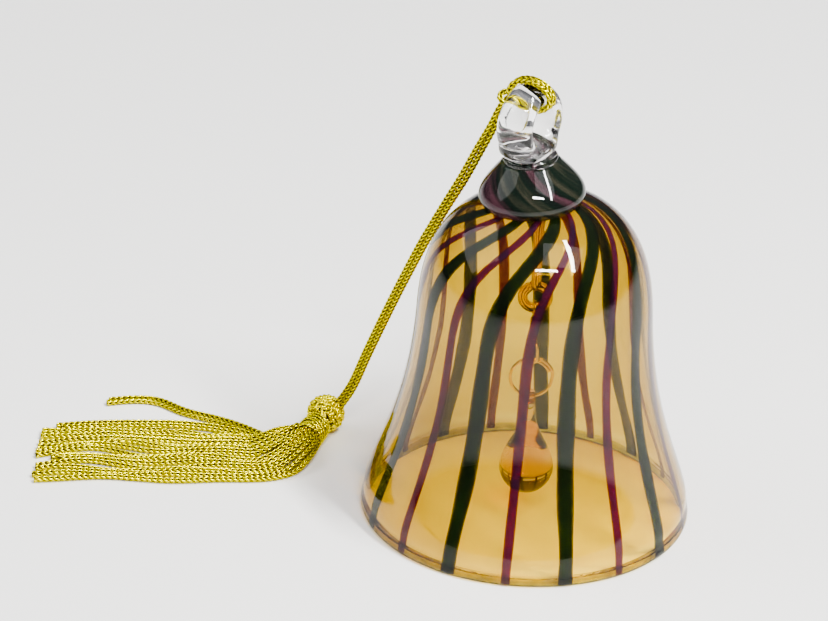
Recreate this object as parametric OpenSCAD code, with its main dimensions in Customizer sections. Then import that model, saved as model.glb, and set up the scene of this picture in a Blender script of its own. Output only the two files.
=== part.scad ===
// A hand-blown glass bell ornament that stands on its mouth. Coloured glass canes run up
// its amber wall in a slow twist to a dark glass crown. A clear glass eye on the crown
// carries a gold cord and its tassel. Inside, a glass drop hangs as the clapper from a
// glass hook, on a wire link and a wire ring.
// The origin is the centre of the mouth, on the surface that the bell stands on.

/* [Bell] */
// Outer radius of the mouth
mouth_r = 30.4; // [29.8:0.1:31.5]
// Radius of the waist
waist_r = 21.5; // [21:0.1:22]
// Height of the waist
waist_z = 41.3; // [40:0.1:42.5]
// Height of the closed top of the wall
top_z = 64.8; // [64.5:0.1:65.2]
// Thickness of the wall
wall = 1.2; // [1:0.1:1.4]
// Thickness of the lip at the mouth
lip_w = 1.6; // [1.5:0.1:1.9]

/* [Canes] */
// Width of a green cane at the mouth
green_w = 2.8; // [2.2:0.1:3.2]
// Width of a purple cane at the mouth
purple_w = 1.7; // [1.3:0.1:2.2]
// Turn of a cane up the straight part of the bell, in degrees
cane_turn = 4; // [0:1:10]
// Further turn over the shoulder, in degrees
cane_swirl = 55; // [0:1:60]

/* [Crown and eye] */
// Largest radius of the crown
crown_r = 9.7; // [9.2:0.1:10]
// Height of the crown
crown_h = 8; // [7.6:0.1:8.3]
// Lean of the crown, in degrees
crown_lean = 5; // [4:1:6]
// Outer diameter of the hanging eye
eye_d = 14.4; // [14.2:0.1:14.6]
// Thickness of the eye's glass in its own plane
eye_rod = 4.2; // [4:0.1:4.4]
// Thickness of the eye's glass along its hole
eye_depth = 7; // [6.8:0.1:7.4]

/* [Clapper] */
// Diameter of the link's and ring's wire
wire_d = 0.6; // [0.5:0.05:0.65]
// Outer diameter of the wire ring
ring_d = 8.2; // [8:0.1:8.3]
// Largest radius of the glass drop
drop_r = 5; // [4.5:0.1:5.1]
// Height of the glass drop
drop_h = 18.6; // [18:0.1:19]

/* [Cord and tassel] */
// Diameter of the cord
cord_d = 1.1; // [1:0.05:1.15]
// Diameter of the tassel's head
head_d = 7.4; // [7:0.1:7.6]

/* [Hidden] */
$fn = 72;

// Shape of the wall
lip_round = 0.5;
lip_rise = 1;
skirt_steps = 20;
shoulder_steps = 20;
shoulder_wall = 1.9;

// Canes: how many of each colour, and their place in the wall and along it
cane_pairs = 9;
cane_proud = 0.08;
cane_sunk = 0.5;
cane_foot = 0.6;
cane_top = 63.6;
cane_steps = 22;
first_cane = 203;
cane_drift = 2;

// Crown, foot and eye
crown_x = -1.5;
crown_z = 62.8;
crown_top_r = 5.2;
foot_r = 5;
foot_h = 2;
eye_x = -2.7;
eye_z = 78.2;
eye_turn = 58;

// Inner hook, which hangs under the closed top
hook_rod = 1.8;
hook_d = 6.4;
hook_z = 43.6;
stem_r = 3.2;

// Chain of pivots from the hook down to the clapper
gap = 0.06;
hook_slack = 0.2;
ring_slack = 0.3;
link_pivot_z = hook_z - hook_d / 2 + hook_rod / 2;
link_pivot_drop = 11;
ring_pivot_z = link_pivot_z - link_pivot_drop;
ring_centre_z = ring_pivot_z + gap + 1.5 * wire_d - ring_d / 2;
clapper_pivot_z = ring_centre_z - ring_d / 2 + wire_d / 2;
link_top_r = hook_rod / 2 + hook_slack + wire_d / 2;
link_top_z = link_pivot_z - hook_slack + gap;
link_eye_r = 1.3;
link_eye_straight = 1.4;
link_eye_turn = 45;
loop_rod = 0.85;
loop_depth = 1.9;
loop_r = wire_d / 2 + ring_slack + loop_rod / 2;
loop_z = clapper_pivot_z - ring_slack + gap;
drop_top_z = loop_z - loop_r;

// Cord: how it is hitched to the eye
wrap_a = eye_depth / 2 + cord_d / 2 + 0.1;
wrap_b = eye_rod / 2 + cord_d / 2 + 0.1;
wrap_side = 0.6;
wrap_from = 200;
wrap_to = -130;
wrap_step = 33;
eye_top = [eye_x, 0, eye_z + eye_d / 2 - eye_rod / 2];
across_eye = [cos(eye_turn), sin(eye_turn), 0];
through_eye = [sin(eye_turn), -cos(eye_turn), 0];

// The bight: across the eye, along its hole, and up from the middle of its top
BIGHT = [
    [-1.8, -4.6, -1.9],
    [-1.3, -5.7, -1.4],
    [0, -6, -1.2],
    [1.3, -5.7, -1.4],
    [1.8, -4.6, -1.9]
];

// The pair of legs, from the hitch over the bell's shoulder to the tassel's head
LEG = [
    [-7.7, 3.1, 79.4],
    [-9.2, 4.2, 75],
    [-11.4, 5.8, 69.5],
    [-13.9, 7.5, 63.2],
    [-16.5, 9.3, 57.3],
    [-19, 11.4, 51.3],
    [-21.4, 13.4, 45.3],
    [-25.8, 17.4, 33],
    [-30.1, 21.3, 20.2],
    [-33, 24.2, 11],
    [-35.6, 25.8, 5.6]
];
leg_apart = 0.58;
leg_stack = [0.69, -0.55, -0.48];
leg_blend = 5;

// Tassel: its head, its neck and its skirt, which lies on the surface
head_at = [-38, 26, head_d / 2];
neck_dir = [-0.37, -0.93, 0];
neck_r = 2.5;
neck_from = 3;
neck_to = 6.6;
neck_turns = 5;
neck_z = 2.7;

// Middle of the skirt, its half width and its height, from the neck to the free ends
SKIRT = [
    [-40.4, 20, 2.6, 5],
    [-42.4, 17.2, 4.6, 5],
    [-45.8, 14.6, 6.8, 4.8],
    [-51, 12.7, 8.7, 4.4],
    [-58, 11.8, 9.8, 3.8],
    [-66, 11.6, 10.3, 3.4],
    [-74, 12.9, 11.2, 3],
    [-82, 13, 11.2, 2.6],
    [-92, 11.8, 11.6, 2.4]
];
skirt_sides = 10;

// Two strands that have come away from the skirt
STRAY = [
    [-50, 20.8, 1.6],
    [-55, 24.6, 0.6],
    [-60.5, 27.4, 0.6],
    [-66, 29.4, 0.6],
    [-70, 33.1, 0.6],
    [-74.5, 34, 0.6],
    [-80.5, 32.4, 0.6]
];
stray_apart = [0.35, 1.08, 0];

CANE_NAMES = [for (i = [1 : cane_pairs]) each [str("green_cane_", i), str("purple_cane_", i)]];

// ---- Curves ----

function bezier(p, t) =
    p[0] * pow(1 - t, 3) + 3 * p[1] * t * pow(1 - t, 2)
    + 3 * p[2] * t * t * (1 - t) + p[3] * pow(t, 3);

function bezier_slope(p, t) =
    3 * (p[1] - p[0]) * pow(1 - t, 2) + 6 * (p[2] - p[1]) * t * (1 - t)
    + 3 * (p[3] - p[2]) * t * t;

function unit(v) = v / norm(v);

// A smooth curve through points, with n steps between each pair
function through(a, b, c, d, t) =
    b + (c - a) * t / 2 + (a - 2.5 * b + 2 * c - 0.5 * d) * t * t
    + (1.5 * b - a / 2 - 1.5 * c + d / 2) * t * t * t;

function smooth(p, n) =
    let (last = len(p) - 1)
    concat(
        [
            for (i = [0 : last - 1], k = [0 : n - 1])
                through(p[max(i - 1, 0)], p[i], p[i + 1], p[min(i + 2, last)], k / n)
        ],
        [p[last]]
    );

function ellipse_points(a, b, n) =
    [for (i = [0 : n - 1]) [a * cos(360 * i / n), b * sin(360 * i / n)]];

// ---- The bell's wall ----

SKIRT_CURVE = [
    [mouth_r, lip_rise],
    [mouth_r - 0.2, lip_rise + 7.5],
    [waist_r + 1.2, waist_z - 23.4],
    [waist_r, waist_z]
];
SHOULDER_CURVE = [
    [waist_r, waist_z],
    [waist_r - 0.6, waist_z + 12],
    [17.2, top_z - 1.8],
    [0, top_z]
];

// The outside of the wall, and the point a wall's thickness inside it
function outside(curve, t) = bezier(curve, t);
function inside(curve, t, thick) =
    let (s = unit(bezier_slope(curve, t)))
    bezier(curve, t) + thick * [-s[1], s[0]];

function outer_wall() = concat(
    [for (i = [0 : skirt_steps]) outside(SKIRT_CURVE, i / skirt_steps)],
    [for (i = [1 : shoulder_steps]) outside(SHOULDER_CURVE, i / shoulder_steps)]
);

function inner_wall() = concat(
    [[0, top_z - shoulder_wall]],
    [
        for (i = [shoulder_steps - 1 : -1 : 1])
            let (t = i / shoulder_steps)
            inside(SHOULDER_CURVE, t, wall + (shoulder_wall - wall) * t * t)
    ],
    [for (i = [skirt_steps : -1 : 3]) inside(SKIRT_CURVE, i / skirt_steps, wall)]
);

// A quarter round of the lip, from one angle to another
function lip_corner(x, from, to) =
    [for (i = [0 : 4]) [x, lip_round] + lip_round * [cos(from + (to - from) * i / 4),
        sin(from + (to - from) * i / 4)]];

function lip() = concat(
    [[mouth_r - lip_w, lip_rise + 0.6]],
    lip_corner(mouth_r - lip_w + lip_round, 180, 270),
    lip_corner(mouth_r - lip_round, 270, 360)
);

// Radius of the outside of the wall at a height
function bisect(curve, z, lo, hi, n) =
    let (mid = (lo + hi) / 2)
    n == 0 ? bezier(curve, mid)[0]
    : bezier(curve, mid)[1] < z ? bisect(curve, z, mid, hi, n - 1)
    : bisect(curve, z, lo, mid, n - 1);
function wall_radius(z) = bisect(z < waist_z ? SKIRT_CURVE : SHOULDER_CURVE, z, 0, 1, 14);

module bell_shell() {
    color([0.80, 0.55, 0.20, 0.45])
        rotate_extrude()
            polygon(concat(lip(), outer_wall(), inner_wall()));
}

// ---- Canes ----

// Turn of a cane at a height, and the place of the nth of all canes round the mouth
function cane_angle(z) = cane_turn * z / top_z + cane_swirl * pow(z / top_z, 10);
function cane_place(n) =
    let (step = 180 / cane_pairs)
    first_cane + n * step + cane_drift * sin((n - 3) * step);

// Half the angle that a cane covers: its width, but never its share of the narrow top
function half_angle(w, z) =
    let (r = wall_radius(z))
    min(w * (1 + 0.18 * sin(180 * z / top_z)) / (2 * r) * 180 / PI, 60 * w / green_w / cane_pairs);

module cane(n, w) {
    rise = cane_top - cane_foot;
    heights = [for (i = [0 : cane_steps]) cane_foot + rise * (1 - pow(1 - i / cane_steps, 1.6))];
    points = [
        for (z = heights, corner = [[-1, 1], [1, 1], [1, 0], [-1, 0]])
            let (a = cane_place(n) + cane_angle(z) + corner[0] * half_angle(w, z))
            let (r = wall_radius(z) + (corner[1] ? cane_proud : -cane_sunk))
            [r * cos(a), r * sin(a), z]
    ];
    last = 4 * cane_steps;
    polyhedron(
        points,
        concat(
            [[0, 1, 2], [0, 2, 3], [last + 2, last + 1, last], [last + 3, last + 2, last]],
            [
                for (i = [0 : cane_steps - 1], k = [0 : 3])
                    let (a = 4 * i + k)
                    let (b = 4 * i + (k + 1) % 4)
                    each [[a, a + 4, b], [b, a + 4, b + 4]]
            ]
        )
    );
}

module green_cane(i) {
    color([0.10, 0.14, 0.08])
        cane(2 * i - 2, green_w);
}

module purple_cane(i) {
    color([0.32, 0.10, 0.38])
        cane(2 * i - 1, purple_w);
}

// ---- Crown, foot and eye ----

module on_crown(height) {
    translate([crown_x, 0, crown_z])
        rotate([0, -crown_lean, 0])
            translate([0, 0, height])
                children();
}

// The solid that the wall encloses with its own outer face
module filled_bell() {
    rotate_extrude()
        polygon(concat([[0, waist_z]], [
            for (i = [0 : shoulder_steps]) outside(SHOULDER_CURVE, i / shoulder_steps)
        ]));
}

module crown() {
    flank = [
        [crown_r - 0.7, 0.2],
        [crown_r + 1.3, 2],
        [crown_r - 1.7, 4.8],
        [crown_top_r, crown_h]
    ];
    color([0.12, 0.10, 0.13])
        difference() {
            on_crown(0)
                rotate_extrude()
                    polygon(concat(
                        [[0, crown_h], [0, -2], [crown_r - 3, -2]],
                        [for (i = [0 : 14]) bezier(flank, i / 14)]
                    ));
            filled_bell();
        }
}

module eye_foot() {
    dome = [[foot_r, 0.4], [foot_r, 1.2], [3.6, foot_h], [0, foot_h]];
    color([0.85, 0.80, 0.78, 0.5])
        on_crown(crown_h)
            rotate_extrude()
                polygon(concat([[0, 0], [foot_r - 0.2, 0]], [
                    for (i = [0 : 8]) bezier(dome, i / 8)
                ]));
}

module hanging_eye() {
    color([0.92, 0.90, 0.90, 0.5])
        translate([eye_x, 0, eye_z])
            rotate([90, 0, eye_turn])
                rotate_extrude()
                    translate([(eye_d - eye_rod) / 2, 0])
                        polygon(ellipse_points(eye_rod / 2, eye_depth / 2, 28));
}

// ---- Clapper and its chain ----

// A closed ring of round rod, in the XZ plane
module upright_ring(outer_d, rod) {
    rotate([90, 0, 0])
        rotate_extrude()
            translate([(outer_d - rod) / 2, 0])
                circle(d = rod, $fn = 32);
}

module inner_hook() {
    stem_top = top_z - shoulder_wall + 0.3;
    stem_foot = hook_z + hook_d / 2 - 0.6;
    stem = [[stem_r, stem_top], [stem_r * 0.3, stem_top - 5], [0.8, stem_top - 8], [0.9, stem_foot]];
    color([0.85, 0.62, 0.20, 0.6]) {
        translate([0, 0, hook_z])
            upright_ring(hook_d, hook_rod);
        rotate_extrude($fn = 36)
            polygon(concat([[0, stem_foot], [0, stem_top]], [
                for (i = [0 : 10]) bezier(stem, i / 10)
            ]));
    }
}

// The link's lower eye: an oval of wire whose hole is along X
module oval_eye() {
    for (end = [-1, 1])
        translate([0, 0, end * link_eye_straight / 2])
            rotate([90, 0, 90])
                rotate([0, 0, end < 0 ? 180 : 0])
                    rotate_extrude(angle = 180, $fn = 48)
                        translate([link_eye_r, 0])
                            circle(d = wire_d, $fn = 16);
    for (side = [-link_eye_r, link_eye_r])
        translate([0, side, -link_eye_straight / 2])
            cylinder(h = link_eye_straight, d = wire_d, $fn = 16);
}

module wire_link() {
    shank_top = link_top_z - link_top_r;
    eye_centre = ring_pivot_z + link_eye_r + link_eye_straight / 2;
    shank_foot = eye_centre + link_eye_r + link_eye_straight / 2;
    color("gold") {
        translate([0, 0, link_top_z])
            rotate([90, 0, 90])
                rotate_extrude($fn = 48)
                    translate([link_top_r, 0])
                        circle(d = wire_d, $fn = 16);
        translate([0, 0, eye_centre])
            rotate([0, 0, link_eye_turn])
                oval_eye();
        translate([0, 0, shank_foot - wire_d / 4])
            cylinder(h = shank_top - shank_foot + wire_d / 2, d = wire_d * 1.4, $fn = 24);
    }
}

module wire_ring() {
    color("gold")
        translate([0, 0, ring_centre_z])
            upright_ring(ring_d, wire_d);
}

module clapper_loop() {
    color([0.85, 0.60, 0.15, 0.7])
        translate([0, 0, loop_z])
            rotate([90, 0, 90])
                rotate_extrude($fn = 48)
                    translate([loop_r, 0])
                        polygon(ellipse_points(loop_rod / 2, loop_depth / 2, 16));
}

module clapper_drop() {
    foot_z = drop_top_z - drop_h;
    belly_z = foot_z + drop_h * 0.28;
    side = [
        [0.9, drop_top_z],
        [0.9, drop_top_z - drop_h * 0.34],
        [drop_r - 0.3, belly_z + drop_h * 0.24],
        [drop_r, belly_z]
    ];
    color([0.90, 0.75, 0.50, 0.5])
        rotate_extrude()
            polygon(concat(
                [[0, drop_top_z]],
                [for (i = [0 : 16]) bezier(side, i / 16)],
                [for (a = [10 : 10 : 90]) [drop_r * cos(a), belly_z - (belly_z - foot_z) * sin(a)]]
            ));
}

// ---- Cord and tassel ----

// Directions across a line at each of its points, carried along it without twist
function tangents(p) =
    [for (i = [0 : len(p) - 1]) unit(p[min(i + 1, len(p) - 1)] - p[max(i - 1, 0)])];
function carried(t, i, u) =
    let (v = unit(u - (u * t[i]) * t[i]))
    i == len(t) - 1 ? [v] : concat([v], carried(t, i + 1, v));

module tube(line, r, sides) {
    t = tangents(line);
    start = abs(t[0][2]) < 0.8 ? [0, 0, 1] : [1, 0, 0];
    u = carried(t, 0, start);
    points = [
        for (i = [0 : len(line) - 1], k = [0 : sides - 1])
            line[i] + r * (cos(360 * k / sides) * u[i] + sin(360 * k / sides) * cross(t[i], u[i]))
    ];
    last = sides * (len(line) - 1);
    polyhedron(
        points,
        concat(
            [[for (k = [0 : sides - 1]) k]],
            [[for (k = [sides - 1 : -1 : 0]) last + k]],
            [
                for (i = [0 : len(line) - 2], k = [0 : sides - 1])
                    let (a = sides * i + k)
                    let (b = sides * i + (k + 1) % sides)
                    each [[a, a + sides, b], [b, a + sides, b + sides]]
            ]
        )
    );
}

// A point of the hitch: across the eye, along its hole, and up from the middle of its top
function at_eye(p) = eye_top + p[0] * across_eye + p[1] * through_eye + [0, 0, p[2]];
function wrap(side, from, to, step) = [
    for (a = [from : step : to]) at_eye([side * wrap_side, wrap_a * cos(a), wrap_b * sin(a)])
];

module cord_hitch() {
    color([0.80, 0.68, 0.15])
        tube(
            concat(
                wrap(-1, wrap_from, wrap_to, -wrap_step),
                [for (p = BIGHT) at_eye(p)],
                wrap(1, wrap_to, wrap_from, wrap_step)
            ),
            cord_d / 2,
            8
        );
}

// The two legs lie side by side at the hitch, and one above the other further down
function leg_line(side) =
    let (start = at_eye([side * wrap_side, wrap_a * cos(wrap_from), wrap_b * sin(wrap_from)]))
    smooth(
        concat([start], [
            for (i = [0 : len(LEG) - 1])
                let (s = min((i + 1) / leg_blend, 1))
                LEG[i] + side * leg_apart * unit((1 - s) * across_eye + s * leg_stack)
        ]),
        2
    );

module cord_leg(side) {
    color([0.80, 0.68, 0.15])
        tube(leg_line(side), cord_d / 2, 8);
}

module tassel_head() {
    color([0.82, 0.70, 0.18])
        translate(head_at)
            sphere(d = head_d);
}

module tassel_neck() {
    turn = (neck_to - neck_from) / neck_turns;
    from = [head_at[0], head_at[1], neck_z];
    color([0.72, 0.58, 0.10])
        translate(from)
            rotate([90, 0, atan2(neck_dir[1], neck_dir[0]) + 90])
                rotate_extrude()
                    polygon(concat([[0, neck_from], [neck_r - 0.2, neck_from]], [
                        for (i = [0 : neck_turns - 1], a = [60, 0, -60])
                            [
                                neck_r - 0.25 + 0.25 * cos(a),
                                neck_from + (i + 0.5) * turn - 0.45 * turn * sin(a)
                            ]
                    ], [[neck_r - 0.2, neck_to], [0, neck_to]]));
}

// A low rounded section of the skirt that stands across its run
function skirt_section(i) =
    let (before = SKIRT[max(i - 1, 0)])
    let (after = SKIRT[min(i + 1, len(SKIRT) - 1)])
    let (run = unit([after[0] - before[0], after[1] - before[1]]))
    [
        for (k = [0 : skirt_sides])
            let (a = 180 * k / skirt_sides)
            [
                SKIRT[i][0] + SKIRT[i][2] * cos(a) * run[1],
                SKIRT[i][1] - SKIRT[i][2] * cos(a) * run[0],
                SKIRT[i][3] * pow(sin(a), 0.7)
            ]
    ];

module tassel_skirt() {
    n = skirt_sides + 1;
    rows = len(SKIRT);
    color([0.82, 0.70, 0.18])
        polyhedron(
            [for (i = [0 : rows - 1]) each skirt_section(i)],
            concat(
                [[for (k = [n - 1 : -1 : 0]) k]],
                [[for (k = [0 : n - 1]) n * (rows - 1) + k]],
                [
                    for (i = [0 : rows - 2], k = [0 : n - 1])
                        let (a = n * i + k)
                        let (b = n * i + (k + 1) % n)
                        each [[a, b, a + n], [b, b + n, a + n]]
                ]
            )
        );
}

module stray_strand(i) {
    color([0.82, 0.70, 0.18])
        tube([for (p = STRAY) p + (i - 1) * stray_apart], cord_d / 2, 8);
}

// ---- The assembly ----

bell_shell();
for (i = [1 : cane_pairs]) {
    green_cane(i);
    purple_cane(i);
}
crown();
eye_foot();
hanging_eye();
inner_hook();
wire_link();
wire_ring();
clapper_loop();
clapper_drop();
cord_hitch();
cord_leg(-1);  // cord_leg_1
cord_leg(1);  // cord_leg_2
tassel_head();
tassel_neck();
tassel_skirt();
stray_strand(1);  // stray_strand_1
stray_strand(2);  // stray_strand_2
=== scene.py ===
"""A hand-blown glass bell ornament on a pale table, with its gold cord and tassel."""

import math
import random

import bmesh
import bpy
import numpy as np
from mathutils import Matrix, Vector


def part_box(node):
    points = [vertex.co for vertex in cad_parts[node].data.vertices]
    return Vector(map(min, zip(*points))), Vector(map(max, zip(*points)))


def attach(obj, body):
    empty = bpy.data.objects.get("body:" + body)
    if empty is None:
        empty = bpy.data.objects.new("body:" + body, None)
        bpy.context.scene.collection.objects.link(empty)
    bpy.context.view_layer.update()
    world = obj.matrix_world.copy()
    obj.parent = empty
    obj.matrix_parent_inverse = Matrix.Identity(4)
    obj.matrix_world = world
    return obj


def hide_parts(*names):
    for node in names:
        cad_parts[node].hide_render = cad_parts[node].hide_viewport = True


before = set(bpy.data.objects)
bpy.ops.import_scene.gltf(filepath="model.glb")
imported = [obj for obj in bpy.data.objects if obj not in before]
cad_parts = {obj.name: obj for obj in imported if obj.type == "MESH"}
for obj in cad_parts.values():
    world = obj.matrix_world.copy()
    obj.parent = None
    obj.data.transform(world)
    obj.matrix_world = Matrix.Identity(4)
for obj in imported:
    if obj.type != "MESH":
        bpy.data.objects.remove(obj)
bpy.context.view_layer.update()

TAU = 2 * math.pi
UP = np.array([0, 0, 1.0])


# ---- Camera ----

# Where the photo was taken from: the place, how far it looks down and leans, and the lens in mm
CAMERA_AT = (-0.0219, -0.6490, 0.3675)
CAMERA_DOWN = math.radians(26.8)
CAMERA_ROLL = math.radians(2.3)
CAMERA_LENS = 173.9


def make_camera():
    """The camera, which looks along +Y and down at the bell."""
    forward = Vector((0, math.cos(CAMERA_DOWN), -math.sin(CAMERA_DOWN)))
    level = Vector((1, 0, 0))
    upright = level.cross(forward)
    right = level * math.cos(CAMERA_ROLL) + upright * math.sin(CAMERA_ROLL)
    turn = Matrix((right, right.cross(forward), -forward)).transposed()
    camera = bpy.data.objects.new("camera", bpy.data.cameras.new("camera"))
    camera.data.lens = CAMERA_LENS
    camera.data.clip_start = 0.01
    camera.matrix_world = Matrix.Translation(CAMERA_AT) @ turn.to_4x4()
    bpy.context.scene.collection.objects.link(camera)
    bpy.context.scene.camera = camera


make_camera()


# ---- Lines and meshes ----


def unit(v):
    """Vectors, each made one long."""
    return v / np.linalg.norm(v, axis=-1, keepdims=True)


def smooth(points, steps):
    """A smooth curve through points, with that many steps between each pair."""
    p = np.array([points[0], *points, points[-1]], float)
    t = np.arange(steps)[:, None] / steps
    spans = [
        p[i]
        + (p[i + 1] - p[i - 1]) * t / 2
        + (p[i - 1] - 2.5 * p[i] + 2 * p[i + 1] - p[i + 2] / 2) * t**2
        + (1.5 * p[i] - p[i - 1] / 2 - 1.5 * p[i + 1] + p[i + 2] / 2) * t**3
        for i in range(1, len(p) - 2)
    ]
    return np.vstack([*spans, p[-1]])


def distances(line):
    """How far along a line each of its points is."""
    return np.concatenate([[0], np.cumsum(np.linalg.norm(np.diff(line, axis=0), axis=1))])


def evenly(line, step):
    """The line with points that far apart."""
    s = distances(line)
    at = np.linspace(0, s[-1], max(2, round(s[-1] / step) + 1))
    return np.stack([np.interp(at, s, line[:, k]) for k in range(3)], axis=1)


def sides_of(line):
    """The direction along a line, and two across it that are carried along without twist."""
    along = unit(np.gradient(line, axis=0))
    u = np.empty_like(line)
    start = UP if abs(along[0, 2]) < 0.8 else np.array([1.0, 0.0, 0.0])
    for i, t in enumerate(along):
        u[i] = start = unit(start - t * start.dot(t))
    return along, u, np.cross(along, u)


def grid_faces(rings, sides, closed=False):
    """Faces between rings of corners. A closed grid's last ring also meets its first."""
    i, k = np.meshgrid(np.arange(rings if closed else rings - 1), np.arange(sides), indexing="ij")
    low, high = i * sides, (i + 1) % rings * sides
    right = (k + 1) % sides
    return np.stack([low + k, low + right, high + right, high + k], axis=-1).reshape(-1, 4).tolist()


def tube(line, radius, sides, u=None):
    """Corners and faces of a round tube along a line. Its radius may change along it."""
    if u is None:
        along, u, v = sides_of(line)
    else:
        along = unit(np.gradient(line, axis=0))
        v = unit(np.cross(along, u))
        u = np.cross(v, along)
    a = np.arange(sides) * TAU / sides
    around = np.cos(a)[:, None] * u[:, None] + np.sin(a)[:, None] * v[:, None]
    corners = line[:, None] + np.broadcast_to(radius, len(line))[:, None, None] * around
    rings = len(line)
    ends = [list(range(sides))[::-1], list(range((rings - 1) * sides, rings * sides))]
    return corners.reshape(-1, 3), grid_faces(rings, sides) + ends


def joined(parts):
    """Several lots of corners and faces as one."""
    corners, faces, n = [], [], 0
    for c, f in parts:
        corners.append(c)
        faces += [[i + n for i in face] for face in f]
        n += len(c)
    return np.vstack(corners), faces


def revolved(outline, segments, wobble=None):
    """A closed body of revolution about Z, from an outline that runs from the axis to the axis."""
    outline = np.array(outline, float)
    a = np.arange(segments) * TAU / segments
    r = np.repeat(outline[None, :, 0], segments, axis=0)
    z = np.repeat(outline[None, :, 1], segments, axis=0)
    if wobble:
        r = r * wobble(a[:, None], z)
    corners = np.stack([r * np.cos(a)[:, None], r * np.sin(a)[:, None], z], axis=-1)
    n = len(outline)
    faces = []
    for i in range(segments):
        low, high = i * n, (i + 1) % segments * n
        faces.append([low + 1, high + 1, 0])
        faces += [[low + k, high + k, high + k + 1, low + k + 1] for k in range(1, n - 2)]
        faces.append([low + n - 2, high + n - 2, n - 1])
    return corners.reshape(-1, 3), faces


def piece(name, shape, material, replaces, body="bell", layer=None):
    """A smooth mesh that rides on a body and stands for some CAD nodes.

    shape is its corners and faces. layer is the name and the values of an attribute of its corners.
    """
    corners, faces = shape
    mesh = bpy.data.meshes.new(name)
    mesh.from_pydata(corners.tolist(), [], faces)
    mesh.shade_smooth()
    if layer:
        mesh.attributes.new(layer[0], "FLOAT", "POINT").data.foreach_set("value", layer[1])
    mesh.materials.append(material)
    obj = bpy.data.objects.new(name, mesh)
    bpy.context.scene.collection.objects.link(obj)
    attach(obj, body)
    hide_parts(*replaces)
    return obj


def face_outwards(obj):
    """Turns a closed mesh's faces outwards and drops what no face uses."""
    bm = bmesh.new()
    bm.from_mesh(obj.data)
    bmesh.ops.delete(bm, geom=[v for v in bm.verts if not v.link_faces], context="VERTS")
    bmesh.ops.recalc_face_normals(bm, faces=bm.faces)
    bm.to_mesh(obj.data)
    bm.free()


# ---- Materials ----


class Nodes:
    """A material's nodes, made and linked by name."""

    def __init__(self, name):
        self.material = bpy.data.materials.new(name)
        self.material.use_nodes = True
        self.tree = self.material.node_tree
        self.tree.nodes.clear()
        self.out = self.tree.nodes.new("ShaderNodeOutputMaterial")

    def add(self, kind, settings=None, **inputs):
        """A node of a kind. An input is a value, or the output that feeds it. _1 is the socket number 1."""
        node = self.tree.nodes.new(kind)
        for key, value in (settings or {}).items():
            setattr(node, key, value)
        for key, value in inputs.items():
            socket = node.inputs[int(key[1:])] if key[0] == "_" else node.inputs[key.replace("_", " ")]
            if isinstance(value, bpy.types.NodeSocket):
                self.tree.links.new(value, socket)
            else:
                socket.default_value = value
        return node

    def shade(self, **inputs):
        """A Principled shader."""
        return self.add("ShaderNodeBsdfPrincipled", **inputs).outputs[0]

    def maths(self, operation, *values):
        inputs = {f"_{i}": value for i, value in enumerate(values)}
        return self.add("ShaderNodeMath", {"operation": operation}, **inputs).outputs[0]

    def mixed(self, share, a, b):
        """Two colours, mixed by a share of the second."""
        node = self.add("ShaderNodeMix", {"data_type": "RGBA"}, _0=share, _6=a, _7=b)
        return node.outputs[2]

    def place(self):
        return self.add("ShaderNodeNewGeometry").outputs["Position"]

    def noise(self, scale, detail=2.0, vector=None, distortion=0.0):
        """A cloudy value from 0 to 1. scale is how many clouds there are to a metre."""
        settings = {"Scale": scale, "Detail": detail, "Distortion": distortion}
        return self.add("ShaderNodeTexNoise", Vector=vector or self.place(), **settings).outputs["Fac"]

    def bump(self, height, strength, distance):
        node = self.add("ShaderNodeBump", Height=height, Strength=strength, Distance=distance)
        return node.outputs[0]

    def blend(self, share, a, b):
        """Two shaders, mixed by a share of the second."""
        return self.add("ShaderNodeMixShader", _0=share, _1=a, _2=b).outputs[0]

    def absorbs(self, keeps, density):
        """A volume that takes up light by its thickness. keeps is the colour that it lets by."""
        return self.add("ShaderNodeVolumeAbsorption", Color=(*keeps, 1), Density=density).outputs[0]

    def ramp(self, value, *stops):
        """Colours at places from 0 to 1 along a value."""
        node = self.add("ShaderNodeValToRGB", Fac=value)
        elements = node.color_ramp.elements
        while len(elements) < len(stops):
            elements.new(0.5)
        for element, (at, colour) in zip(elements, stops):
            element.position = at
            element.color = (*colour, 1)
        return node.outputs[0]

    def finish(self, surface, volume=None):
        """The material, with its surface and volume joined up."""
        self.tree.links.new(surface, self.out.inputs["Surface"])
        if volume:
            self.tree.links.new(volume, self.out.inputs["Volume"])
        return self.material


WHITE = (1, 1, 1, 1)
GLASS_IOR = 1.5
THIN_GLASS_IOR = 1.42
GLASS_SHADOW = (0.9, 0.9, 0.9, 1)
# The rim's painted glow, for light that runs down inside the wall: a mottle from dark olive to bright
# painted glints, the share of its height where it starts to fade out upwards, and the depth of the rim's
# rough bumps
LIP_GLOW_DARK = (0.20, 0.26, 0.02, 1)
LIP_GLOW_GLINT = (0.95, 1.0, 0.22, 1)
LIP_FADE = 0.7
LIP_ROUGHNESS = 2.5


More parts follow.
